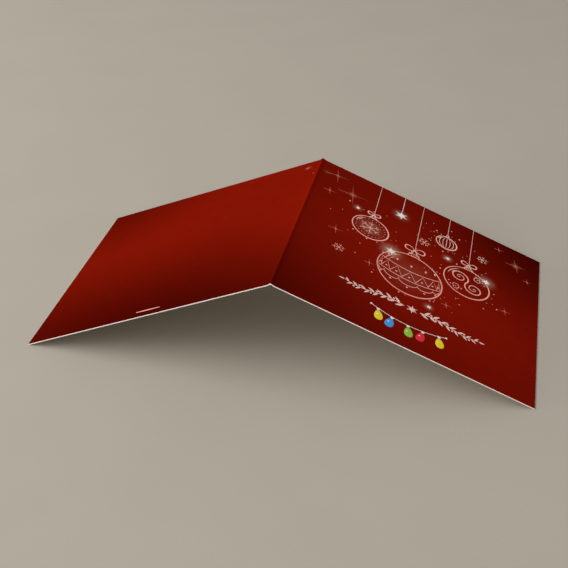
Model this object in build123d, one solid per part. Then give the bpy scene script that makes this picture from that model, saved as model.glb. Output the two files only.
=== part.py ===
"""Square folded greeting card, set down like a tent with its fold uppermost.

One sheet of white folding boxboard, creased once across the middle. The back cover is on the left
and the front cover on the right, as on a card that lies open with its outside up. The foot of the
card, where the picture side is read from, faces -Y, and its head faces +Y. The covers have sprung
open further than the crease itself, which stands up between them as a low crest.

Frame: millimetres, +X towards the front cover's fore edge, +Y along the fold from foot to head,
+Z up. The origin is on the surface that the card stands on, under the middle of the fold. The card
rests on two lines, the inside corners of its two fore edges.
"""

import os
from math import cos, radians, sin, tan

from build123d import *

# The sheet
COVER_WIDTH = 150.0
COVER_HEIGHT = 150.0
BOARD_THICKNESS = 0.5
OPENING_ANGLE = 135.0

# The crease: on each side of the fold a strip that stands steeper than its cover, by CREASE_SET degrees,
# with a round crown between them and, inside, the bead of fibres that the creasing rule pressed up
CREASE_WIDTH = 3.6
CREASE_SET = 14.0
CROWN_ROUND = 0.4
CREASE_FOOT_ROUND = 0.8
BEAD_WIDTH = 0.8
BEAD_HEIGHT = 0.12
BEAD_TOE_ROUND = 0.2

# The guillotine knife rolls the printed side's corner over where it enters the board
KNIFE_ROUND = 0.07

LEFT, RIGHT = -1, 1
SLOPE = radians(180.0 - OPENING_ANGLE) / 2
CREASE_SLOPE = SLOPE + radians(CREASE_SET)


def ridge_height():
    """Height of the line where the two outside faces would meet, with the fore edges on the floor."""
    return COVER_WIDTH * sin(SLOPE) + BOARD_THICKNESS * cos(SLOPE)


def on_cover(side, from_fold, depth):
    """Section point on one cover: from_fold down its slope, and depth below its outside face."""
    across = from_fold * cos(SLOPE) - depth * sin(SLOPE)
    height = ridge_height() - from_fold * sin(SLOPE) - depth * cos(SLOPE)
    return (side * across, height)


def crease_outside():
    """The two feet of the crease on the outside, and the point of its crown before it is rounded."""
    foot = CREASE_WIDTH / 2
    foot_height = ridge_height() - foot * tan(SLOPE)
    feet = [(side * foot, foot_height) for side in (LEFT, RIGHT)]
    crown = (0, foot_height + foot * tan(CREASE_SLOPE))
    return feet, crown


def crease_inside():
    """The two feet of the crease on the inside, then the toes and the foot of the bead between them."""
    outer_feet, crown = crease_outside()
    half_turn = (CREASE_SLOPE - SLOPE) / 2
    bisector = SLOPE + half_turn
    through_board = BOARD_THICKNESS / cos(half_turn)
    foot = CREASE_WIDTH / 2 - through_board * sin(bisector)
    foot_height = outer_feet[0][1] - through_board * cos(bisector)
    feet = [(side * foot, foot_height) for side in (LEFT, RIGHT)]

    valley = crown[1] - BOARD_THICKNESS / cos(CREASE_SLOPE)
    toe_height = valley - BEAD_WIDTH / 2 * tan(CREASE_SLOPE)
    toes = [(side * BEAD_WIDTH / 2, toe_height) for side in (LEFT, RIGHT)]
    bead_foot = (0, toe_height - BEAD_HEIGHT)
    return feet, toes, bead_foot


def near(vertices, points):
    """The vertices that lie at the given section points."""
    return [min(vertices, key=lambda v: (Vector(*v) - Vector(*point)).length) for point in points]


def card_section():
    """The folded board seen from the foot, in section coordinates: across, then height."""
    outer_feet, crown = crease_outside()
    inner_feet, toes, bead_foot = crease_inside()
    outside_corners = [on_cover(side, COVER_WIDTH, 0) for side in (LEFT, RIGHT)]
    inside_corners = [on_cover(side, COVER_WIDTH, BOARD_THICKNESS) for side in (LEFT, RIGHT)]

    with BuildSketch() as section:
        with BuildLine():
            Polyline(outside_corners[0], outer_feet[0], crown, outer_feet[1], outside_corners[1])
            Polyline(outside_corners[1], inside_corners[1], inner_feet[1], toes[1])
            ThreePointArc(toes[1], bead_foot, toes[0])
            Polyline(toes[0], inner_feet[0], inside_corners[0], outside_corners[0])
        make_face()
        fillet(near(section.vertices(), [crown]), radius=CROWN_ROUND)
        fillet(near(section.vertices(), outer_feet), radius=CREASE_FOOT_ROUND)
        fillet(near(section.vertices(), inner_feet), radius=CREASE_FOOT_ROUND + BOARD_THICKNESS)
        fillet(near(section.vertices(), toes), radius=BEAD_TOE_ROUND)
    return section.sketch


def printed_side_rim(card):
    """The edges all round the outside of the card, where the knife cut in from the printed side."""
    outside = card.faces().filter_by(lambda face: face.normal_at().Z > 0)
    edges = outside.edges()
    half_height = COVER_HEIGHT / 2
    foot = edges.filter_by_position(Axis.Y, -half_height, -half_height)
    head = edges.filter_by_position(Axis.Y, half_height, half_height)
    across = edges.filter_by(Axis.Y).sort_by(Axis.X)
    return foot + head + [across[0], across[-1]]


def folded_card():
    """The whole card: the section run from foot to head, with its cut corners rolled over."""
    board = extrude(Plane.XZ * card_section(), amount=COVER_HEIGHT / 2, both=True)
    return fillet(printed_side_rim(board), radius=KNIFE_ROUND)


if __name__ == "__main__":
    os.makedirs("parts", exist_ok=True)
    export_step(folded_card(), "parts/folded_card.step")
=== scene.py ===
"""Looks of a square folded greeting card that stands like a tent.

Board, printed film, raised inks and studio. The print is drawn flat, in millimetres on a cover: u runs
from the fold to the fore edge and v from the foot to the head, and bend() lays it on the cover's slope.
The scene is in metres, in the card's own frame.
"""

import random
from math import atan2, ceil, cos, degrees, hypot, pi, radians, sin, tan
from typing import NamedTuple

import bpy
from mathutils import Euler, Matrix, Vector


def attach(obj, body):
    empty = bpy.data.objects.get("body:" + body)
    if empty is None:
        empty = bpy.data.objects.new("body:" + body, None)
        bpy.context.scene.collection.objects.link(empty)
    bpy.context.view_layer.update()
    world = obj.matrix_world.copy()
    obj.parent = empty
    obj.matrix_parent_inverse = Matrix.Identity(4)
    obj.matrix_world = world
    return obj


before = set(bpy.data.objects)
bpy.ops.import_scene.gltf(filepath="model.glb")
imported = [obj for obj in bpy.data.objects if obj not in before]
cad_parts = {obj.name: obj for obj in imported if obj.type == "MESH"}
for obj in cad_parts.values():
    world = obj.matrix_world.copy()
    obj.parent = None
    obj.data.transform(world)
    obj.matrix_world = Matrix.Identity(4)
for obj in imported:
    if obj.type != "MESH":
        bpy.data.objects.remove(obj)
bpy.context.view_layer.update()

MM = 0.001

# The board, in millimetres, as it was creased and cut, and the thickness of one of its outer plies
COVER_WIDTH = 150.0
COVER_HEIGHT = 150.0
BOARD_THICKNESS = 0.5
OPENING_ANGLE = 135.0
CREASE_WIDTH = 3.6
CREASE_SET = 14.0
CROWN_ROUND = 0.4
CREASE_FOOT_ROUND = 0.8
KNIFE_ROUND = 0.07
PLY = 0.09

# The film that carries the print, and the raised ink on it
FILM_THICKNESS = 0.03
FILM_SINK = 0.01
INK_RISE = 0.03
INK_SINK = 0.01

BACK, FRONT = -1, 1
SLOPE = radians(180.0 - OPENING_ANGLE) / 2
CREASE_SLOPE = SLOPE + radians(CREASE_SET)
RIDGE = COVER_WIDTH * sin(SLOPE) + BOARD_THICKNESS * cos(SLOPE)
# Where a cover's outside face meets the steeper strip beside the fold: across, then height
CREASE_FOOT = Vector((CREASE_WIDTH / 2, RIDGE - CREASE_WIDTH / 2 * tan(SLOPE)))


def bend(cover, u, v, lift):
    """The place in the scene of a point drawn on a cover, lift above the board's outside face."""
    across = u * cos(SLOPE) + lift * sin(SLOPE)
    height = RIDGE - u * sin(SLOPE) + lift * cos(SLOPE)
    return Vector((cover * across, v - COVER_HEIGHT / 2, height)) * MM


def facing(slope):
    """The direction, in the card's section, that stands square on a slope that falls away to the right."""
    return Vector((sin(slope), cos(slope)))


# Colour and material

# Places of the colour sockets on a mix node
MIX_FIRST, MIX_SECOND, MIX_RESULT = 6, 7, 2
# A cloudy noise stays between these values nearly everywhere
CLOUD_LOW, CLOUD_HIGH = 0.25, 0.75


def linear(hex_value):
    """An sRGB hex value as the linear colour that a shader takes, by the standard's own formula."""
    parts = [int(hex_value[i : i + 2], 16) / 255 for i in (1, 3, 5)]
    return [p / 12.92 if p <= 0.04045 else ((p + 0.055) / 1.055) ** 2.4 for p in parts] + [1.0]


def add(tree, kind, inputs=(), output=0, **settings):
    """Adds a node with its settings and links, and gives one of its outputs.

    Inputs is a dict by name or place, or a list from the first socket on, of values and sockets to link.
    """
    made = tree.nodes.new("ShaderNode" + kind)
    for name, value in settings.items():
        setattr(made, name, value)
    by_key = inputs if isinstance(inputs, dict) else dict(enumerate(inputs))
    for key, value in by_key.items():
        if isinstance(value, bpy.types.NodeSocket):
            tree.links.new(value, made.inputs[key])
        else:
            made.inputs[key].default_value = value
    return made.outputs[output] if made.outputs else None


def blank_material(name):
    """A material with nothing in it, and its node tree."""
    material = bpy.data.materials.new(name)
    material.use_nodes = True
    material.node_tree.nodes.clear()
    return material, material.node_tree


def finish(tree, sockets):
    """Gives a material its surface, with these sockets of the surface shader filled."""
    add(tree, "OutputMaterial", {"Surface": add(tree, "BsdfPrincipled", sockets)})


def mottle(tree, place, size, amount):
    """A tone around 1 that wanders up and down by that amount, in patches size millimetres wide."""
    cloud = add(tree, "TexNoise", {"Vector": place, "Scale": 1 / (size * MM)})
    limits = (CLOUD_LOW, CLOUD_HIGH, 1 - amount, 1 + amount)
    return add(tree, "MapRange", (cloud, *limits), interpolation_type="SMOOTHSTEP")


def tooth(tree, place, size, depth, detail=2.0):
    """The relief of a slightly rough surface, with grains of that size and depth in millimetres."""
    grain = add(tree, "TexNoise", {"Vector": place, "Scale": 1 / (size * MM), "Detail": detail})
    return add(tree, "Bump", {"Height": grain, "Distance": depth * MM, "Strength": 1.0})


def falloff(tree, place, middle, reach):
    """1 at the middle, and smoothly down to 0 at the edge of an ellipse of that reach."""
    offset = add(tree, "VectorMath", (place, (*middle, 0)), operation="SUBTRACT")
    share = add(tree, "VectorMath", (offset, (*reach, 1)), operation="DIVIDE")
    distance = add(tree, "VectorMath", (share,), "Value", operation="LENGTH")
    return add(tree, "MapRange", (distance, 0.0, 1.0, 1.0, 0.0), interpolation_type="SMOOTHSTEP")


# Offset print, in millimetres over both covers: u is below nought on the back cover
PRINT_RED = "#751104"
# Where the red is deeper: the middle of each shade, its reach along u and v, and its depth.
# A depth below nought is a lift.
SHADES = [
    ((-53.0, -19.0), (382.0, 129.0), 0.76),
    ((152.0, 191.0), (113.0, 158.0), 0.79),
    ((-157.0, 202.0), (118.0, 140.0), 0.71),
    ((78.0, -11.0), (151.0, 175.0), -0.92),
]
# A glow's colour, and the power by which it fades towards its rim
GLOW_COLOUR = "#c99a80"
GLOW_FALL = 2.2

# Sizes of the patterns in print, film, ink and board, in millimetres. The mottle of the print, the drift
# of the pearl, the mesh of the screen and the clouds in the board are as large as on a real card. The rest
# are finer there, and are drawn as coarse as they need to show: printed dots are 0.15 mm apart, a film's
# grain is 0.05 mm, a pearl flake is 0.04 mm, a pulp fibre is 0.03 mm wide and a felt mark is 0.1 mm.
PRINT_MOTTLE = 9.0
PRINT_GRAIN = 0.6
FILM_GRAIN = 0.4
PEARL_DRIFT = 16.0
PEARL_FLAKE = 0.12
SCREEN_MESH = 0.15
BOARD_CLOUD = 5.0
PULP_FIBRE = 0.35
FELT_MARK = 0.25


def laminated_print(glows):
    """Offset print under a soft-touch film. It gives the eye a deep velvety red that mirrors nothing.

    Each of the glows printed in it has a middle, a reach and a strength.
    """
    material, tree = blank_material("soft_touch_laminated_print")
    chart = add(tree, "UVMap", uv_map="print_mm")
    place = add(tree, "TexCoord", output="Object")
    patches = [mottle(tree, place, size, amount=0.03) for size in (PRINT_GRAIN, PRINT_MOTTLE)]
    tone = add(tree, "Math", patches, operation="MULTIPLY")
    for middle, reach, depth in SHADES:
        shade = falloff(tree, chart, middle, reach)
        kept = add(tree, "Math", (shade, -depth, 1.0), operation="MULTIPLY_ADD")
        tone = add(tree, "Math", (tone, kept), operation="MULTIPLY")
    ground = add(tree, "VectorMath", {0: linear(PRINT_RED)[:3], "Scale": tone}, operation="SCALE")
    for middle, reach, strength in glows:
        glow = falloff(tree, chart, middle, (reach, reach))
        glow = add(tree, "Math", (glow, GLOW_FALL), operation="POWER")
        glow = add(tree, "Math", (glow, strength), operation="MULTIPLY")
        colours = {0: glow, MIX_FIRST: ground, MIX_SECOND: linear(GLOW_COLOUR)}
        ground = add(tree, "Mix", colours, MIX_RESULT, data_type="RGBA")
    skin = tooth(tree, place, FILM_GRAIN, depth=0.004)
    finish(tree, {"Base Color": ground, "Roughness": 0.6, "Specular IOR Level": 0.0, "Normal": skin})
    return material


PEARL_ROSE, PEARL_CREAM = "#f9a797", "#fccfbe"
# From the first to the second of these heights on the cover, in millimetres, the pearl pales
PEARL_PALING = (45.0, 145.0)
# How far the pearl drifts between its two tones, and how much of the paler one is held back all over
PEARL_WANDER, PEARL_HELD_BACK = 1.3, 0.75


def pearl_ink():
    """Pearl screen ink. It gives the eye a line that pales from rose at the foot to cream at the head."""
    material, tree = blank_material("rose_pearl_screen_ink")
    place = add(tree, "TexCoord", output="Object")
    up = add(tree, "SeparateXYZ", (place,), "Y")
    limits = [(v - COVER_HEIGHT / 2) * MM for v in PEARL_PALING]
    pale = add(tree, "MapRange", (up, *limits), interpolation_type="SMOOTHSTEP")
    pale = add(tree, "Math", (pale, PEARL_HELD_BACK), operation="SUBTRACT")
    drift = add(tree, "TexNoise", {"Vector": place, "Scale": 1 / (PEARL_DRIFT * MM)})
    pale = add(tree, "Math", (drift, PEARL_WANDER, pale), operation="MULTIPLY_ADD")
    colours = {0: pale, MIX_FIRST: linear(PEARL_ROSE), MIX_SECOND: linear(PEARL_CREAM)}
    ink = add(tree, "Mix", colours, MIX_RESULT, data_type="RGBA")
    flakes = mottle(tree, place, PEARL_FLAKE, amount=0.1)
    ink = add(tree, "VectorMath", {0: ink, "Scale": flakes}, operation="SCALE")
    finish(tree, {"Base Color": ink, "Roughness": 0.35, "Specular IOR Level": 0.2})
    return material


def opaque_ink(name, colour):
    """Thick screen ink, which hides the red. It gives the eye an even colour with a slight tooth."""
    material, tree = blank_material(name)
    place = add(tree, "TexCoord", output="Object")
    tone = mottle(tree, place, SCREEN_MESH * 2, amount=0.05)
    ink = add(tree, "VectorMath", {0: linear(colour)[:3], "Scale": tone}, operation="SCALE")
    skin = tooth(tree, place, SCREEN_MESH, depth=0.003)
    finish(tree, {"Base Color": ink, "Roughness": 0.45, "Specular IOR Level": 0.2, "Normal": skin})
    return material


def depth_under(tree, beside_fold, slope):
    """The depth of a place below the outside face that has this slope and meets the crease's foot."""
    square = facing(slope)
    operands = (beside_fold, (square.x, 0, square.y))
    reach = add(tree, "VectorMath", operands, "Value", operation="DOT_PRODUCT")
    return add(tree, "Math", (CREASE_FOOT.dot(square) * MM, reach), operation="SUBTRACT")


BOARD_WHITE, BOARD_PULP = "#faf3ee", "#f8dfd2"
# Shares of an outer ply's thickness between which its white gives way to the pulp inside
PLY_BLEND = (0.8, 1.4)


def boxboard():
    """Folding boxboard. It gives the eye a soft white, with creamier pulp where the guillotine cut it."""
    material, tree = blank_material("white_folding_boxboard")
    place = add(tree, "NewGeometry")
    # Both sides of the fold are alike, and the crease stands higher than the covers would reach
    beside_fold = add(tree, "VectorMath", (place,), operation="ABSOLUTE")
    depths = [depth_under(tree, beside_fold, slope) for slope in (SLOPE, CREASE_SLOPE)]
    depth = add(tree, "Math", depths, operation="MAXIMUM")
    height = add(tree, "Math", (BOARD_THICKNESS * MM, depth), operation="SUBTRACT")
    limits = [share * PLY * MM for share in PLY_BLEND]
    below = add(tree, "MapRange", (depth, *limits), interpolation_type="SMOOTHSTEP")
    above = add(tree, "MapRange", (height, *limits), interpolation_type="SMOOTHSTEP")
    pulp = add(tree, "Math", (below, above), operation="MULTIPLY")
    colours = {0: pulp, MIX_FIRST: linear(BOARD_WHITE), MIX_SECOND: linear(BOARD_PULP)}
    white = add(tree, "Mix", colours, MIX_RESULT, data_type="RGBA")
    fibres = mottle(tree, place, PULP_FIBRE, amount=0.025)
    clouds = mottle(tree, place, BOARD_CLOUD, amount=0.015)
    tone = add(tree, "Math", (fibres, clouds), operation="MULTIPLY")
    white = add(tree, "VectorMath", {0: white, "Scale": tone}, operation="SCALE")
    felt = tooth(tree, place, FELT_MARK, depth=0.012, detail=4.0)
    finish(tree, {"Base Color": white, "Roughness": 0.85, "Specular IOR Level": 0.15, "Normal": felt})
    return material


# The film

HOLLOW_STEPS, CROWN_STEPS = 5, 8


def crease_section(lift):
    """Section of the crease, lift above the board, from the back cover's flat to the front cover's."""
    between, half_turn = (SLOPE + CREASE_SLOPE) / 2, (CREASE_SLOPE - SLOPE) / 2
    hollow = CREASE_FOOT + facing(between) * CREASE_FOOT_ROUND / cos(half_turn)
    turns = [CREASE_SLOPE - 2 * half_turn * i / HOLLOW_STEPS for i in range(HOLLOW_STEPS + 1)]
    right = [hollow - facing(turn) * (CREASE_FOOT_ROUND - lift) for turn in turns]

    crown_point = CREASE_FOOT.y + CREASE_WIDTH / 2 * tan(CREASE_SLOPE)
    centre = Vector((0, crown_point - CROWN_ROUND / cos(CREASE_SLOPE)))
    turns = [CREASE_SLOPE * i / CROWN_STEPS for i in range(-CROWN_STEPS, CROWN_STEPS + 1)]
    crown = [centre + facing(turn) * (CROWN_ROUND + lift) for turn in turns]
    return [Vector((-p.x, p.y)) for p in reversed(right)] + crown + right


def film_section(lift):
    """Section of one face of the film, from the back cover's fore edge over the fold to the front's."""
    left, right = (bend(cover, COVER_WIDTH - KNIFE_ROUND, 0, lift).xz / MM for cover in (BACK, FRONT))
    return [left] + crease_section(lift) + [right]


def film_mesh(upper, lower):
    """The film as a closed sheet between two sections, run from the foot of the card to its head."""
    loop = upper + lower[::-1]
    count, strips = len(loop), len(upper) - 1
    foot = -COVER_HEIGHT / 2 + KNIFE_ROUND
    vertices = [Vector((p.x, y, p.y)) * MM for y in (foot, -foot) for p in loop]
    faces = [(i, (i + 1) % count, count + (i + 1) % count, count + i) for i in range(count)]
    for i in range(strips):
        foot_face = (i, count - 1 - i, count - 2 - i, i + 1)
        head_face = tuple(count + j for j in reversed(foot_face))
        faces += [foot_face, head_face]
    mesh = bpy.data.meshes.new("printed_film")
    mesh.from_pydata(vertices, [], faces)
    mesh.validate()
    return mesh


def chart_print(mesh, upper):
    """Lays a map over the film that says where each corner is in the print: u and v in millimetres."""
    travelled = [0.0]
    for before, after in zip(upper, upper[1:]):
        travelled.append(travelled[-1] + (after - before).length)
    unrolled = [t - travelled[-1] / 2 for t in travelled]
    unrolled += unrolled[::-1]
    chart = mesh.uv_layers.new(name="print_mm")
    for place, corner in zip(chart.data, mesh.loops):
        v = mesh.vertices[corner.vertex_index].co.y / MM + COVER_HEIGHT / 2
        place.uv = (unrolled[corner.vertex_index % len(unrolled)], v)


def printed_film(material):
    """The film that carries the print, over both covers and the fold."""
    upper = film_section(FILM_THICKNESS)
    mesh = film_mesh(upper, film_section(-FILM_SINK))
    chart_print(mesh, upper)
    mesh.materials.append(material)
    film = bpy.data.objects.new("printed_film", mesh)
    bpy.context.scene.collection.objects.link(film)
    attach(film, "root")


# Drawing with raised ink

# A curve is drawn in steps about this long, but never in fewer than so many
CURVE_STEP = 0.3
FEWEST_STEPS = 12
# No line is finer than this
FINEST = 0.08
# Section of an ink line: the share of its half width, and the share of its rise, or None where it is sunk
LINE_SECTION = [(-1.0, None), (-0.75, 0.65), (0.0, 1.0), (0.75, 0.65), (1.0, None)]
# How far out and how high the shoulder of a filled shape lies
SPOT_SHOULDER_SHARE = 0.8
# A curl ends at this share of its radius, and a power below 1 keeps it wide at first
CURL_END_SHARE, CURL_POWER = 0.1, 0.85


class Drawing:
    """Ink on one cover: closed shapes that stand a little proud of the film, drawn in u and v."""

    def __init__(self, under=0):
        """Under is how many layers of ink lie below this one."""
        self.base = FILM_THICKNESS + under * INK_RISE
        self.points = []
        self.faces = []

    def lift(self, share):
        """Height above the board of a share of the ink's rise, or of its sunk foot for None."""
        return self.base - INK_SINK if share is None else self.base + share * INK_RISE

    def line(self, path, widths, closed=False):
        """A line of ink along a path, as wide at each of its points as widths says."""
        if isinstance(widths, (int, float)):
            widths = [widths] * len(path)
        first, last, count = len(self.points), len(path) - 1, len(LINE_SECTION)
        for i, (u, v) in enumerate(path):
            before = path[i - 1] if i or closed else path[i]
            after = path[(i + 1) % len(path)] if i < last or closed else path[i]
            along_u, along_v = after[0] - before[0], after[1] - before[1]
            half = max(widths[i], FINEST) / 2 / (hypot(along_u, along_v) or 1.0)
            for share, rise in LINE_SECTION:
                side = share * half
                self.points.append((u - side * along_v, v + side * along_u, self.lift(rise)))
        for i in range(len(path) if closed else last):
            here, there = first + i * count, first + (i + 1) % len(path) * count
            for j in range(count):
                k = (j + 1) % count
                self.faces.append((here + j, there + j, there + k, here + k))
        if not closed:
            self.faces.append(tuple(first + j for j in range(count)))
            self.faces.append(tuple(first + last * count + j for j in reversed(range(count))))

    def stroke(self, path, thin, thick):
        """A pen stroke along a path: thin at both its ends and thick in its middle."""
        last = len(path) - 1
        self.line(path, [thin + (thick - thin) * sin(pi * i / last) for i in range(last + 1)])

    def tapered(self, path, start, end):
        """A line along a path whose width runs evenly from its start to its end."""
        last = len(path) - 1
        self.line(path, [start + (end - start) * i / last for i in range(last + 1)])

    def spot(self, outline, middle):
        """A filled shape, highest in its middle, from where its anticlockwise outline is seen whole."""
        first, count = len(self.points), len(outline)
        foot, shoulder, crest = (self.lift(share) for share in (None, SPOT_SHOULDER_SHARE, 1.0))
        self.points += [(*point, foot) for point in outline]
        for point in outline:
            inner = (m + (p - m) * SPOT_SHOULDER_SHARE for p, m in zip(point, middle))
            self.points.append((*inner, shoulder))
        self.points += [(*middle, foot), (*middle, crest)]
        under, top = first + 2 * count, first + 2 * count + 1
        for i in range(count):
            j = (i + 1) % count
            self.faces.append((first + j, first + i, under))
            self.faces.append((first + i, first + j, first + count + j, first + count + i))
            self.faces.append((first + count + i, first + count + j, top))

    def dot(self, middle, radius):
        """A round dot."""
        self.spot(circle(middle, radius), middle)

    def piece(self, name, cover, material, slot):
        """The drawing as one object that rides on the card."""
        mesh = bpy.data.meshes.new(name)
        # bend() mirrors the back cover, so there each face is turned over to look outwards again
        faces = self.faces if cover == FRONT else [face[::-1] for face in self.faces]
        mesh.from_pydata([bend(cover, *point) for point in self.points], [], faces)
        mesh.polygons.foreach_set("use_smooth", [True] * len(faces))
        mesh.materials.append(material)
        made = bpy.data.objects.new(name, mesh)
        bpy.context.scene.collection.objects.link(made)
        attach(made, "root")


def arc(middle, radius, start, end):
    """Points along part of a circle, from one angle to another in degrees."""
    steps = max(FEWEST_STEPS, ceil(abs(radians(end - start)) * radius / CURVE_STEP))
    angles = [radians(start + (end - start) * i / steps) for i in range(steps + 1)]
    return [(middle[0] + radius * cos(a), middle[1] + radius * sin(a)) for a in angles]


def circle(middle, radius):
    """Points round a whole circle, anticlockwise, with no point twice."""
    return arc(middle, radius, 0, 360)[:-1]


def curl(middle, radius, start, turns):
    """Points along a spiral from its rim to near its eye, anticlockwise if turns is above nought."""
    steps = ceil(abs(turns) * pi * radius / CURVE_STEP) + FEWEST_STEPS
    made = []
    for i in range(steps + 1):
        t = i / steps
        reach = radius * (1 - t) ** CURL_POWER * (1 - CURL_END_SHARE) + radius * CURL_END_SHARE
        angle = radians(start + 360 * turns * t)
        made.append((middle[0] + reach * cos(angle), middle[1] + reach * sin(angle)))
    return made


def bezier(*knots):
    """Points along a cubic curve through four knots, or through seven for two curves end to end."""
    made = []
    for first in range(0, len(knots) - 1, 3):
        ends = knots[first : first + 4]
        span = sum(hypot(b[0] - a[0], b[1] - a[1]) for a, b in zip(ends, ends[1:]))
        steps = max(FEWEST_STEPS, ceil(span / CURVE_STEP))
        # A second curve leaves out the point that it shares with the first
        for i in range(0 if first == 0 else 1, steps + 1):
            t = i / steps
            shares = ((1 - t) ** 3, 3 * t * (1 - t) ** 2, 3 * t * t * (1 - t), t**3)
            made.append(tuple(sum(s * knot[axis] for s, knot in zip(shares, ends)) for axis in (0, 1)))
    return made


def turned(points, middle, size, turn=0.0):
    """Points drawn about nought at unit size, made that large, turned and put at the middle."""
    along, aside = cos(radians(turn)) * size, sin(radians(turn)) * size
    return [(middle[0] + along * u - aside * v, middle[1] + aside * u + along * v) for u, v in points]


def placed(point, middle, size, turn=0.0):
    """One point, set in the same way."""
    return turned([point], middle, size, turn)[0]


# The baubles. Each is drawn in shares of its radius, and its line widths are in millimetres.

# How wide a thread is, and how far up the cover it ends, just short of the rolled-over rim
THREAD_WIDTH, THREAD_TOP = 0.36, COVER_HEIGHT - KNIFE_ROUND * 3
OUTLINE_THIN, OUTLINE_THICK = 0.62, 1.0
PATTERN_WIDTH = 0.46
# How thin the pen ends most of its strokes
PEN_THIN = 0.3


def hanging_thread(ink, start):
    """A fine thread from an ornament's ring up to the head of the cover."""
    u, v = start
    ink.line([(u, v), (u, (v + COVER_HEIGHT) / 2), (u, THREAD_TOP)], THREAD_WIDTH)


# How thick a bow's loops and tails are drawn, and its knot's radius as a share of its size
LOOP_WIDTH, TAIL_WIDTH = 0.95, 0.8
BOW_KNOT_SHARE = 0.17


def bow(ink, middle, size):
    """A ribbon bow of two loops and two tails, drawn with a swelling pen."""
    for side in (-1, 1):
        loop = bezier(
            (0, 0), (side * 0.3, 0.72), (side * 1.2, 0.85), (side * 1.12, 0.12),
            (side * 1.04, -0.42), (side * 0.35, -0.3), (0, 0),
        )
        tail = bezier((0, 0), (side * 0.28, -0.3), (side * 0.22, -0.85), (side * 0.8, -1.15))
        ink.stroke(turned(loop, middle, size), PEN_THIN, LOOP_WIDTH)
        ink.stroke(turned(tail, middle, size), PEN_THIN, TAIL_WIDTH)
    ink.dot(middle, size * BOW_KNOT_SHARE)


# A cap: how far up its foot and its top lie, half its width at the foot, how much of that is left at the
# top, and where its flutes stand between its sides, which are at -1 and 1
CAP_FOOT, CAP_TOP = 0.99, 1.14
CAP_HALF_WIDTH, CAP_TAPER = 0.17, 0.9
FLUTES = (-0.4, 0.0, 0.4)
FLUTE_WIDTH = PATTERN_WIDTH * 0.6
# The ring's radius is a share of the bauble's and so many millimetres more
RING_SHARE, RING_EXTRA = 0.085, 0.3
RING_WIDTH = PATTERN_WIDTH * 0.8


def cap_and_ring(ink, middle, radius):
    """The metal cap on top of a bauble and the ring in it. Returns the top of the ring."""
    u, foot, top = middle[0], middle[1] + radius * CAP_FOOT, middle[1] + radius * CAP_TOP
    half, ring = radius * CAP_HALF_WIDTH, radius * RING_SHARE + RING_EXTRA
    half_top = half * CAP_TAPER
    box = [(u - half, foot), (u + half, foot), (u + half_top, top), (u - half_top, top)]
    for a, b in zip(box, box[1:] + box[:1]):
        ink.line([a, b], PATTERN_WIDTH)
    for share in FLUTES:
        ink.line([(u + share * half, foot), (u + share * half, top)], FLUTE_WIDTH)
    ink.line(circle((u, top + ring), ring), RING_WIDTH, closed=True)
    return u, top + 2 * ring


# Glimmers in the glass: how far out each lies, the angles it runs between, and how thick it is drawn
GLIMMERS = [(0.86, 118, 168, 0.75), (0.76, 132, 156, 0.5)]
GLIMMER_THIN = 0.12


def glass_outline(ink, middle, radius):
    """The round glass: a rim that swells low on its right, and glimmers inside its left shoulder."""
    rim = circle(middle, radius)
    widths = []
    for u, v in rim:
        lowness = (cos(atan2(v - middle[1], u - middle[0]) + pi / 4) + 1) / 2
        widths.append(OUTLINE_THIN + (OUTLINE_THICK - OUTLINE_THIN) * lowness)
    ink.line(rim, widths, closed=True)
    for share, start, end, thick in GLIMMERS:
        ink.stroke(arc(middle, radius * share, start, end), GLIMMER_THIN, thick)


# How much narrower the pattern is than the glass, and how far a level line on it sags
INSET_SHARE = 0.955
SAG_SHARE = 0.2


def half_width(radius, height):
    """Half the width of the pattern at a share of the glass's height."""
    return (1 - height**2) ** 0.5 * radius * INSET_SHARE


def on_glass(middle, radius, height, across):
    """A place on the pattern: a share of the height, and a share of the width there from -1 to 1."""
    half = half_width(radius, height)
    return middle[0] + half * across, middle[1] + radius * height - SAG_SHARE * half * (1 - across**2)


def crowded(share):
    """A share of the way round the front of a ball as a share of its width, crowded towards its rims."""
    return -cos(pi * share)


def level_line(middle, radius, height):
    """A line round the glass at a share of its height."""
    steps = ceil(2 * half_width(radius, height) / CURVE_STEP)
    return [on_glass(middle, radius, height, -1 + 2 * i / steps) for i in range(steps + 1)]


# The large bauble's belt, and how far the zigzag in it and the scallops under it keep from its edges
BELT_TOP, BELT_FOOT = 0.34, -0.14
ZIGZAG_GAP, SCALLOP_GAP = 0.05, 0.08
BELT_WIDTH = 0.65
TEETH, SCALLOPS, DIAMONDS = 7, 5, 5
# How deep the middle scallop hangs
SCALLOP_DROP = 0.26
# The radius of a bead, and how far it lies below a tooth's tip and below a scallop
BEAD_RADIUS = 0.035
BEAD_UNDER_TIP, BEAD_UNDER_SCALLOP = 0.27, 0.03
# A diamond at unit size, how large the diamonds are, and how far up they lie
DIAMOND = [(0.55, 0), (0, 1), (-0.55, 0), (0, -1)]
DIAMOND_SIZE, DIAMOND_HEIGHT = 0.075, 0.6


def zigzag_belt(ink, middle, radius):
    """A belt: a zigzag between two level lines, with a bead inside each of its teeth."""
    for height in (BELT_TOP, BELT_FOOT):
        ink.line(level_line(middle, radius, height), BELT_WIDTH)
    foot, tip = BELT_FOOT + ZIGZAG_GAP, BELT_TOP - ZIGZAG_GAP
    for i in range(TEETH):
        corners = ((foot, i), (tip, i + 0.5), (foot, i + 1))
        peak = [on_glass(middle, radius, height, crowded(k / TEETH)) for height, k in corners]
        ink.line(peak, PATTERN_WIDTH)
        u, v = peak[1]
        ink.dot((u, v - radius * BEAD_UNDER_TIP), radius * BEAD_RADIUS)


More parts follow.
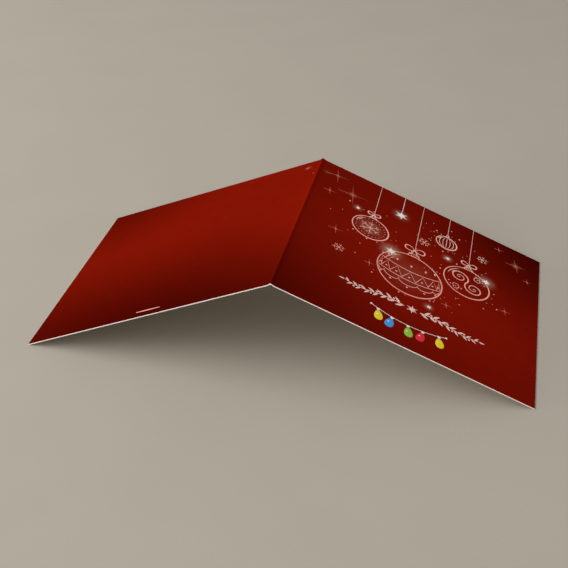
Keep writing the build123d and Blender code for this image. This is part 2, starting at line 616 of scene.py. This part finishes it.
def scallops_under_belt(ink, middle, radius):
    """A row of scallops, deepest in the middle of the glass, with a bead under each."""
    height = BELT_FOOT - SCALLOP_GAP
    for i in range(SCALLOPS):
        ends = [on_glass(middle, radius, height, crowded(k / SCALLOPS)) for k in (i, i + 1)]
        drop = radius * SCALLOP_DROP * sin(pi * (i + 0.5) / SCALLOPS) ** 0.5
        (u0, v0), (u1, v1) = ends
        scallop = bezier((u0, v0), (u0, v0 - drop), (u1, v1 - drop), (u1, v1))
        ink.stroke(scallop, PEN_THIN, BELT_WIDTH)
        bead = ((u0 + u1) / 2, (v0 + v1) / 2 - drop - radius * BEAD_UNDER_SCALLOP)
        ink.dot(bead, radius * BEAD_RADIUS)


def diamonds_above_belt(ink, middle, radius):
    """A row of diamonds."""
    for i in range(DIAMONDS):
        place = on_glass(middle, radius, DIAMOND_HEIGHT, crowded((i + 0.5) / DIAMONDS))
        ink.spot(turned(DIAMOND, place, radius * DIAMOND_SIZE), place)


def banded_bauble(ink, middle, radius):
    """The large bauble: a zigzag belt, scallops under it and diamonds above."""
    glass_outline(ink, middle, radius)
    zigzag_belt(ink, middle, radius)
    scallops_under_belt(ink, middle, radius)
    diamonds_above_belt(ink, middle, radius)


def dots_round(ink, middle, reach, angles, radius):
    """Dots that far from the middle, one at each of these angles in degrees."""
    for angle in angles:
        ink.dot(placed((1, 0), middle, reach, angle), radius)


# The curled bauble's scroll: the eye of its lower half, how often each half goes round, and its thickness
SCROLL_EYE, SCROLL_TURNS, SCROLL_WIDTH = (0.33, -0.24), 1.75, 0.95
SCROLL_EYE_RADIUS = 0.04
# A small curl beside it: its eye, its radius, how often it goes round, and how wide its line starts
CURL_EYE, CURL_RADIUS, CURL_TURNS, CURL_WIDTH = (0.46, 0.52), 0.2, 1.3, 0.6
# A small curl starts at this angle from the line through the scroll's eyes, in degrees
CURL_START = 120
# The dots on a shoulder: their angles in degrees, how far out they lie, and their radius
SHOULDER_ANGLES = (25.5, 38.5, 51.5, 64.5)
SHOULDER_REACH, SHOULDER_RADIUS = 0.84, 0.03


def curled_bauble(ink, middle, radius):
    """The second bauble: a double scroll from shoulder to foot, with a small curl and dots on each side."""
    glass_outline(ink, middle, radius)
    across, up = SCROLL_EYE
    reach, way = radius * hypot(across, up), degrees(atan2(up, across))
    eyes = [placed(SCROLL_EYE, middle, radius, half_turn) for half_turn in (180, 0)]
    upper = curl(eyes[0], reach, way, SCROLL_TURNS)
    lower = curl(eyes[1], reach, way + 180, SCROLL_TURNS)
    ink.stroke(upper[::-1] + lower[1:], PEN_THIN, SCROLL_WIDTH)
    for half_turn in (180, 0):
        eye = placed(CURL_EYE, middle, radius, half_turn)
        small = curl(eye, radius * CURL_RADIUS, way + CURL_START + half_turn, CURL_TURNS)
        ink.tapered(small, CURL_WIDTH, PEN_THIN)
        angles = [angle + half_turn for angle in SHOULDER_ANGLES]
        dots_round(ink, middle, radius * SHOULDER_REACH, angles, radius * SHOULDER_RADIUS)
    for eye in eyes:
        ink.dot(eye, radius * SCROLL_EYE_RADIUS)


# A straight bar with its middle on nought
BAR = [(-1, 0), (0, 0), (1, 0)]
CRYSTAL_WIDTH, SMALL_CRYSTAL_WIDTH = 0.55, 0.42
# Where a crystal's barb leaves its arm, and where its tip is: along the arm and out to the side
BARB_FOOT, BARB_TIP, BARB_SPREAD = 0.56, 0.75, 0.3
# Shares of a crystal's line width: at an arm's tip, at a barb's foot and tip, and the core's radius
ARM_TIP_SHARE, BARB_FOOT_SHARE, BARB_TIP_SHARE, CRYSTAL_CORE_SHARE = 0.6, 0.9, 0.5, 0.8


def snow_crystal(ink, middle, radius, turn, width=SMALL_CRYSTAL_WIDTH):
    """A six-armed snow crystal, of three bars that cross, with a pair of barbs on each arm."""
    for k in range(3):
        arm_tip = width * ARM_TIP_SHARE
        ink.line(turned(BAR, middle, radius, turn + 60 * k), [arm_tip, width, arm_tip])
        for way in (turn + 60 * k, turn + 60 * k + 180):
            for side in (-1, 1):
                barb = turned([(BARB_FOOT, 0), (BARB_TIP, side * BARB_SPREAD)], middle, radius, way)
                ink.tapered(barb, width * BARB_FOOT_SHARE, width * BARB_TIP_SHARE)
    ink.dot(middle, width * CRYSTAL_CORE_SHARE)


# The crystal in the third bauble, and the ring of dots round it: its reach, its dots' radius and spacing
CRYSTAL_REACH = 0.62
DOT_RING_REACH, DOT_RING_RADIUS, DOT_RING_SPACING = 0.8, 0.025, 15


def crystal_bauble(ink, middle, radius):
    """The third bauble: a snow crystal inside a ring of dots."""
    glass_outline(ink, middle, radius)
    snow_crystal(ink, middle, radius * CRYSTAL_REACH, turn=30, width=CRYSTAL_WIDTH)
    angles = range(0, 360, DOT_RING_SPACING)
    dots_round(ink, middle, radius * DOT_RING_REACH, angles, radius * DOT_RING_RADIUS)


# The small bauble's ribs: how far each bulges to the side, how far up they reach, and their widths
RIB_BULGES = (-0.7, -0.36, 0.0, 0.36, 0.7)
RIB_REACH, RIB_STEPS = 0.97, 24
RIB_THIN, RIB_THICK = 0.15, 0.45


def striped_bauble(ink, middle, radius):
    """The small bauble: ribs from its cap to its foot."""
    glass_outline(ink, middle, radius)
    angles = [pi * (-0.5 + i / RIB_STEPS) for i in range(RIB_STEPS + 1)]
    for bulge in RIB_BULGES:
        rib = turned([(bulge * cos(a), sin(a)) for a in angles], middle, radius * RIB_REACH)
        ink.stroke(rib, RIB_THIN, RIB_THICK)


def hang(ink, draw, middle, radius, bow_size):
    """A bauble with its cap, its ring, its thread up to the head, and a bow on the ring if it has one."""
    draw(ink, middle, radius)
    ring = cap_and_ring(ink, middle, radius)
    hanging_thread(ink, ring)
    if bow_size:
        bow(ink, ring, bow_size)


# Stars and glints

# How many long rays a star has, how far out its waist lies between long and between short rays, and how
# long the short ones are
RAYS = 6
LONG_WAIST, SHORT_WAIST = 0.3, 0.35
SHORT_RAY_SHARE = 0.62
GLINT_WIDTH = 0.36
# How long a glint's small rays are. Its core's radius is so many millimetres and a share of its size more.
SMALL_RAY_SHARE = 0.25
CORE_RADIUS, CORE_SHARE = 0.2, 0.03


def star_outline(waist):
    """A star about nought, at unit size, whose outline goes in and out between its tips and its waist."""
    outline = []
    for i in range(2 * RAYS):
        reach, way = waist if i % 2 else 1.0, pi / 2 + pi * i / RAYS
        outline.append((reach * cos(way), reach * sin(way)))
    return outline


def bright_star(ink, middle, size, turn=0.0):
    """A star of six long rays with six short ones between them."""
    ink.spot(turned(star_outline(LONG_WAIST), middle, size, turn), middle)
    short_rays = turned(star_outline(SHORT_WAIST), middle, size * SHORT_RAY_SHARE, turn + 180 / RAYS)
    ink.spot(short_rays, middle)


def glint(ink, middle, size, turn):
    """A four-rayed glint of light: a cross of fading rays, a small one between them and a core."""
    for way in (0, 90):
        for length, lean in ((size, 0), (size * SMALL_RAY_SHARE, 45)):
            ink.line(turned(BAR, middle, length, turn + way + lean), [FINEST, GLINT_WIDTH, FINEST])
    ink.dot(middle, CORE_RADIUS + size * CORE_SHARE)


# The garland

LEAF_PAIRS = 7
LEAF_LENGTH, LEAF_WIDTH = 5.6, 1.75
# How large the leaves at the tip are, against the first ones
TIP_LEAF_SHARE = 0.7
# How far a leaf leans away from its twig, in degrees
LEAF_LEAN = 40
# Steps along a leaf's edge, a power below 1 that moves its widest place towards its foot, and how far
# along the leaf is highest
LEAF_STEPS, LEAF_POWER, LEAF_CREST_SHARE = 8, 0.8, 0.45
# How far a twig waves up and down, how far it sinks from start to tip, its steps and its widths
STEM_WAVE, STEM_DROP = 1.3, 1.0
STEM_STEPS = 60
STEM_THICK, STEM_THIN = 0.75, 0.4
# Where leaves and berries grow, in spaces between pairs, and how far those above are ahead and those below
# behind
LEAF_PLACE, BERRY_PLACE, STAGGER = 0.3, 1.08, 0.2
BERRY_RADIUS, BERRY_STALK = 0.68, 1.5


def leaf(ink, foot, way, share):
    """A pointed leaf that grows from its foot in the given direction, at a share of a leaf's full size."""
    length, width = LEAF_LENGTH * share, LEAF_WIDTH * share
    edge = []
    for i in range(LEAF_STEPS + 1):
        along = i / LEAF_STEPS
        edge.append((along * length, width / 2 * sin(pi * along**LEAF_POWER)))
    outline = [(u, -v) for u, v in edge] + edge[-2:0:-1]
    crest = placed((length * LEAF_CREST_SHARE, 0), foot, 1.0, way)
    ink.spot(turned(outline, foot, 1.0, way), crest)


def leafy_sprig(ink, start, side, length):
    """A twig that runs out from the start with a slow wave, with leaves in staggered pairs and berries."""

    def on_stem(t):
        """The place at this share of the twig's length."""
        return start[0] + side * length * t, start[1] + STEM_WAVE * sin(2 * pi * t) - STEM_DROP * t

    stem = [on_stem(i / STEM_STEPS) for i in range(STEM_STEPS + 1)]
    ink.tapered(stem, STEM_THICK, STEM_THIN)
    tip_way = 0 if side > 0 else 180
    leaf(ink, stem[-1], tip_way, TIP_LEAF_SHARE)
    for i in range(LEAF_PAIRS):
        share = 1 - (1 - TIP_LEAF_SHARE) * i / (LEAF_PAIRS - 1)
        for lean in (-1, 1):
            t = (i + LEAF_PLACE + STAGGER * lean) / LEAF_PAIRS
            climb = 2 * pi * STEM_WAVE * cos(2 * pi * t) - STEM_DROP
            way = degrees(atan2(climb, length)) + lean * LEAF_LEAN
            leaf(ink, on_stem(t), tip_way + side * way, share)
    # Between two pairs is one berry, above and below the twig by turns
    for i in range(LEAF_PAIRS - 1):
        lean = -1 if i % 2 else 1
        u, v = on_stem((i + BERRY_PLACE + STAGGER * lean) / LEAF_PAIRS)
        ink.dot((u, v + lean * BERRY_STALK), BERRY_RADIUS)


# The lights

LIGHT_COLOURS = {"yellow": "#f2d91c", "blue": "#3f9bec", "red": "#e8183c", "green": "#8fc63a"}
LIGHT_ORDER = ["yellow", "blue", "green", "red", "yellow"]
LIGHT_CORD = ((53.0, 24.5), (67.0, 18.5), (83.0, 18.5), (97.0, 24.5))
CORD_WIDTH, CORD_KNOT_RADIUS = 0.42, 0.7
# A bulb at unit length, hanging from nought, and the places inside it of its middle and its glimmer
BULB = bezier((0, 0), (-0.16, 0), (-0.31, -0.36), (-0.31, -0.62), (-0.31, -0.88), (-0.14, -1), (0, -1))
BULB += [(-u, v) for u, v in BULB[-2:0:-1]]
BULB_MIDDLE, BULB_GLIMMER = (0, -0.55), (-0.1, -0.42)
BULB_LENGTH, BULB_GLIMMER_RADIUS = 8.6, 0.5
# Where a lamp's cap starts and ends, from the cord down, and how far a lamp swings, in degrees
LAMP_CAP, LAMP_CAP_WIDTH = [(0, 0.3), (0, -1.4)], 1.9
SWING = 9


def fairy_lights(white):
    """Small coloured lamps on a cord that sags between two knots, each with a white cap and a glimmer."""
    cord = bezier(*LIGHT_CORD)
    wiring, glimmers = Drawing(), Drawing(under=1)
    wiring.line(cord, CORD_WIDTH)
    for end in (cord[0], cord[-1]):
        wiring.dot(end, CORD_KNOT_RADIUS)
    bulbs = {name: Drawing() for name in LIGHT_COLOURS}
    for i, name in enumerate(LIGHT_ORDER):
        hook = cord[round((i + 0.5) / len(LIGHT_ORDER) * (len(cord) - 1))]
        swing = -SWING if i % 2 else SWING
        cap = turned(LAMP_CAP, hook, 1.0, swing)
        wiring.line(cap, LAMP_CAP_WIDTH)
        outline = turned(BULB, cap[1], BULB_LENGTH, swing)
        bulbs[name].spot(outline, placed(BULB_MIDDLE, cap[1], BULB_LENGTH, swing))
        glimmers.dot(placed(BULB_GLIMMER, cap[1], BULB_LENGTH, swing), BULB_GLIMMER_RADIUS)
    wiring.piece("lights_cord", FRONT, white, "white_ink")
    glimmers.piece("lights_glimmers", FRONT, white, "white_ink")
    for name, drawing in bulbs.items():
        material = opaque_ink(f"{name}_screen_ink", LIGHT_COLOURS[name])
        drawing.piece(f"lights_{name}", FRONT, material, "lamp_ink")


# Where everything is printed


class Place(NamedTuple):
    """An ornament's place on its cover, in millimetres and degrees.

    The glow is a soft light in the print behind it: how far it reaches and how strong it is.
    """

    middle: tuple
    size: float
    turn: float = 0.0
    glow: tuple = ()


# Of each bauble: its name, how it is drawn, its place with its radius for a size, and its bow's size
BAUBLES = [
    ("bauble_banded", banded_bauble, Place((70.0, 68.0), 20.0, glow=(30.0, 0.1)), 5.6),
    ("bauble_curled", curled_bauble, Place((104.0, 87.0), 14.5), 4.4),
    ("bauble_crystal", crystal_bauble, Place((41.0, 97.0), 11.5, glow=(15.0, 0.3)), 3.6),
    ("bauble_striped", striped_bauble, Place((88.0, 120.0), 6.8), 0.0),
]
STARS = [
    Place((57.0, 127.0), 5.0, 4, glow=(9.0, 0.5)),
    Place((56.5, 83.0), 4.2, 12, glow=(12.0, 0.75)),
    Place((116.0, 97.5), 3.4, -8, glow=(10.0, 0.6)),
    Place((90.5, 103.5), 2.3, 0, glow=(6.0, 0.45)),
    Place((30.5, 112.5), 2.0, 10, glow=(5.5, 0.4)),
    Place((84.5, 45.5), 2.1, 20, glow=(5.5, 0.4)),
]
# The first star hangs on a thread that ends above its middle, at this share of its size
STAR_RING_SHARE = 0.9
GLINTS = [
    Place((25.0, 124.0), 10.0, 9, glow=(5.0, 0.2)),
    Place((12.5, 138.0), 7.5, 9),
    Place((11.0, 117.0), 4.0, 9),
    Place((134.0, 131.0), 7.0, 12, glow=(5.0, 0.3)),
    Place((142.0, 119.0), 3.0, 12),
    Place((122.0, 141.0), 3.4, 12),
    Place((129.0, 76.0), 4.0, 10),
    Place((22.0, 79.0), 4.6, 8),
    Place((94.0, 55.0), 3.4, 8),
    Place((46.0, 61.0), 3.4, 8),
]
BACK_GLINTS = [
    Place((8.5, 141.5), 1.7, -9, glow=(4.5, 0.1)),
    Place((2.8, 131.5), 0.6, -9),
]
CRYSTALS = [
    Place((74.5, 109.0), 4.2, 8),
    Place((112.0, 120.0), 4.0, 20),
    Place((27.0, 62.0), 4.0, 14),
]
# One more glow, beside the fold, has no ornament in it: its middle, its reach and its strength
FOLD_GLOW = ((5.5, 136.5), 4.0, 0.1)
# The garland's star, how far from its middle the two twigs start, and how long they are
GARLAND_MIDDLE, GARLAND_STAR_SIZE = (75.5, 36.0), 4.0
TWIG_START, TWIG_LENGTH = 4.8, 35.0
# Where the rule on the back starts and ends, and how far up the cover it lies
BACK_RULE = (66.8, 81.6, 5.6)
# How thin the rule ends, how thick its middle is, and in how many steps it is drawn
RULE_THIN, RULE_THICK, RULE_STEPS = 0.5, 1.0, 30
# The fine dots: how many there are, how near the glass the first lie, how far out from there the last lie,
# a power above 1 that crowds them near the glass, their radii, and the seed of their places
DOT_COUNT, DOT_GAP, DOT_REACH, DOT_POWER = 90, 1.4, 13, 1.6
DOT_RADII = (0.22, 0.26, 0.3, 0.4, 0.55)
DOT_SEED = 24


def glows_behind(places, cover=FRONT):
    """The middle on the film, the reach and the strength of each glow that these places have."""
    return [((cover * place.middle[0], place.middle[1]), *place.glow) for place in places if place.glow]


def printed_glows():
    """All the glows in the print."""
    baubles = [place for _, _, place, _ in BAUBLES]
    return glows_behind(STARS + baubles + GLINTS) + glows_behind(BACK_GLINTS, BACK) + [FOLD_GLOW]


def sparkle_dots():
    """Fine dots strewn round the baubles, thinner the farther they lie from the glass."""
    ink = Drawing()
    chance = random.Random(DOT_SEED)
    for _ in range(DOT_COUNT):
        _, _, bauble, _ = chance.choice(BAUBLES)
        way, beyond = chance.uniform(0, 360), DOT_GAP + DOT_REACH * chance.random() ** DOT_POWER
        ink.dot(placed((1, 0), bauble.middle, bauble.size + beyond, way), chance.choice(DOT_RADII))
    return ink


def repeated(draw, places):
    """The same ornament drawn at each of these places."""
    ink = Drawing()
    for place in places:
        draw(ink, place.middle, place.size, place.turn)
    return ink


def leafy_garland():
    """Two twigs that run out from a star."""
    ink = Drawing()
    bright_star(ink, GARLAND_MIDDLE, GARLAND_STAR_SIZE)
    u, v = GARLAND_MIDDLE
    for side in (-1, 1):
        leafy_sprig(ink, (u + side * TWIG_START, v), side, TWIG_LENGTH)
    return ink


def swelled_rule():
    """A short printer's rule that is thick in its middle."""
    ink = Drawing()
    start, end, v = BACK_RULE
    rule = [(start + (end - start) * i / RULE_STEPS, v) for i in range(RULE_STEPS + 1)]
    ink.stroke(rule, RULE_THIN, RULE_THICK)
    return ink


def front_ornaments(rose, tint, pale, white):
    """Everything printed on the front cover above the lights."""
    for name, draw, place, bow_size in BAUBLES:
        ink = Drawing()
        hang(ink, draw, place.middle, place.size, bow_size)
        ink.piece(name, FRONT, rose, "rose_ink")

    stars = repeated(bright_star, STARS)
    hanging_thread(stars, placed((0, STAR_RING_SHARE), STARS[0].middle, STARS[0].size))
    stars.piece("bright_stars", FRONT, white, "white_ink")
    repeated(glint, GLINTS).piece("glints", FRONT, tint, "rose_ink")
    repeated(snow_crystal, CRYSTALS).piece("snow_crystals", FRONT, rose, "rose_ink")
    sparkle_dots().piece("sparkle_dots", FRONT, rose, "rose_ink")
    leafy_garland().piece("leafy_garland", FRONT, pale, "rose_ink")


def back_ornaments(rose, tint):
    """A rule near the foot of the back cover, and faint glints by the fold."""
    swelled_rule().piece("back_rule", BACK, rose, "rose_ink")
    repeated(glint, BACK_GLINTS).piece("back_glints", BACK, tint, "rose_ink")


# The studio

# How bright the room's walls are, and its ceiling
WALL_LIGHT = 0.68
CEILING_LIGHT = 0.4
FLOOR_COLOUR = "#aba396"
FLOOR_HALF = 20.0
# The stipple that a paint roller leaves, and the clouds in which a floor is worn, in millimetres
ROLLER_STIPPLE, FLOOR_CLOUD = 1.2, 60.0
# From the first to the second of these distances, in metres, the floor fades into the backdrop
FLOOR_FADE = (0.7, 1.9)
# How bright the backdrop is, as a share of the floor's colour
BACKDROP_SHARE = 0.82


def sees_backdrop(tree):
    """1 for rays from the camera, by way of gloss or glass too, and 0 for the rays that light things."""
    rays = [add(tree, "LightPath", output=f"Is {kind} Ray") for kind in ("Camera", "Glossy", "Transmission")]
    seen = add(tree, "Math", rays[:2], operation="MAXIMUM")
    return add(tree, "Math", (seen, rays[2]), operation="MAXIMUM")


def floor_paint():
    """Matt paint. It gives the eye a plain pale floor, which far off turns into the backdrop's even tone."""
    material, tree = blank_material("matt_painted_floor")
    place = add(tree, "TexCoord", output="Object")
    patches = [mottle(tree, place, size, amount=0.012) for size in (ROLLER_STIPPLE, FLOOR_CLOUD)]
    grain = add(tree, "Math", patches, operation="MULTIPLY")
    paint = add(tree, "VectorMath", {0: linear(FLOOR_COLOUR)[:3], "Scale": grain}, operation="SCALE")
    near = add(tree, "BsdfPrincipled", {"Base Color": paint, "Roughness": 0.9, "Specular IOR Level": 0.1})
    far = add(tree, "Emission", {"Color": linear(FLOOR_COLOUR), "Strength": BACKDROP_SHARE})
    distance = add(tree, "VectorMath", (place,), "Value", operation="LENGTH")
    fade = add(tree, "MapRange", (distance, *FLOOR_FADE), interpolation_type="SMOOTHSTEP")
    fade = add(tree, "Math", (fade, sees_backdrop(tree)), operation="MULTIPLY")
    add(tree, "OutputMaterial", {"Surface": add(tree, "MixShader", (fade, near, far))})
    return material


def studio_floor():
    """A plain floor under the card, which runs on well outside the photographer's view."""
    corners = [(-1, -1), (1, -1), (1, 1), (-1, 1)]
    mesh = bpy.data.meshes.new("floor")
    mesh.from_pydata([(x * FLOOR_HALF, y * FLOOR_HALF, 0) for x, y in corners], [], [(0, 1, 2, 3)])
    mesh.materials.append(floor_paint())
    floor = bpy.data.objects.new("floor", mesh)
    bpy.context.scene.collection.objects.link(floor)


def soft_box(name, bearing, elevation, distance, size, power):
    """A square soft box aimed at the card, in metres, watts and degrees.

    Seen from above, its bearing runs clockwise from +Y.
    """
    lamp = bpy.data.lights.new(name, "AREA")
    lamp.size = size
    lamp.energy = power
    box = bpy.data.objects.new(name, lamp)
    turn, climb = radians(bearing), radians(elevation)
    outward = Vector((sin(turn) * cos(climb), cos(turn) * cos(climb), sin(climb)))
    box.location = outward * distance
    box.rotation_euler = (-outward).to_track_quat("-Z", "Y").to_euler()
    bpy.context.scene.collection.objects.link(box)


def room_light():
    """The room: pale walls all round and a dimmer ceiling. The camera sees the backdrop's tone instead."""
    world = bpy.data.worlds.new("room")
    bpy.context.scene.world = world
    world.use_nodes = True
    tree = world.node_tree
    tree.nodes.clear()
    direction = add(tree, "TexCoord", output="Generated")
    height = add(tree, "SeparateXYZ", (direction,), "Z")
    strength = add(tree, "MapRange", (height, 0.0, 1.0, WALL_LIGHT, CEILING_LIGHT))
    light = add(tree, "Background", {"Color": (1, 1, 1, 1), "Strength": strength})
    backdrop = add(tree, "Background", {"Color": linear(FLOOR_COLOUR), "Strength": BACKDROP_SHARE})
    room = add(tree, "MixShader", (sees_backdrop(tree), light, backdrop))
    add(tree, "OutputWorld", {"Surface": room})


# The camera, found from the six corners of the card, in millimetres and degrees
CAMERA_PLACE = (105.4, -537.5, 354.2)
CAMERA_TURN = 12.0
CAMERA_TILT = 31.98
LENS = 69.94
SENSOR = 36.0


def photographers_camera():
    """The camera, turned to the left of the fold and tilted down."""
    data = bpy.data.cameras.new("camera")
    data.lens = LENS
    data.sensor_width = SENSOR
    data.clip_start = 0.01
    camera = bpy.data.objects.new("camera", data)
    camera.location = Vector(CAMERA_PLACE) * MM
    camera.rotation_euler = Euler((radians(90 - CAMERA_TILT), 0, radians(CAMERA_TURN)))
    bpy.context.scene.collection.objects.link(camera)
    bpy.context.scene.camera = camera


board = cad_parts["folded_card"]
board.data.materials.clear()
board.data.materials.append(boxboard())
printed_film(laminated_print(printed_glows()))

rose = pearl_ink()
tint = opaque_ink("rose_tint_screen_ink", "#dc7a66")
pale = opaque_ink("pale_rose_screen_ink", "#f6cdc2")
white = opaque_ink("white_screen_ink", "#fbf4ee")
front_ornaments(rose, tint, pale, white)
back_ornaments(rose, tint)
fairy_lights(white)

studio_floor()
soft_box("window", bearing=250, elevation=32, distance=1.9, size=2.2, power=50)
room_light()
photographers_camera()
bpy.context.scene.view_settings.view_transform = "Standard"
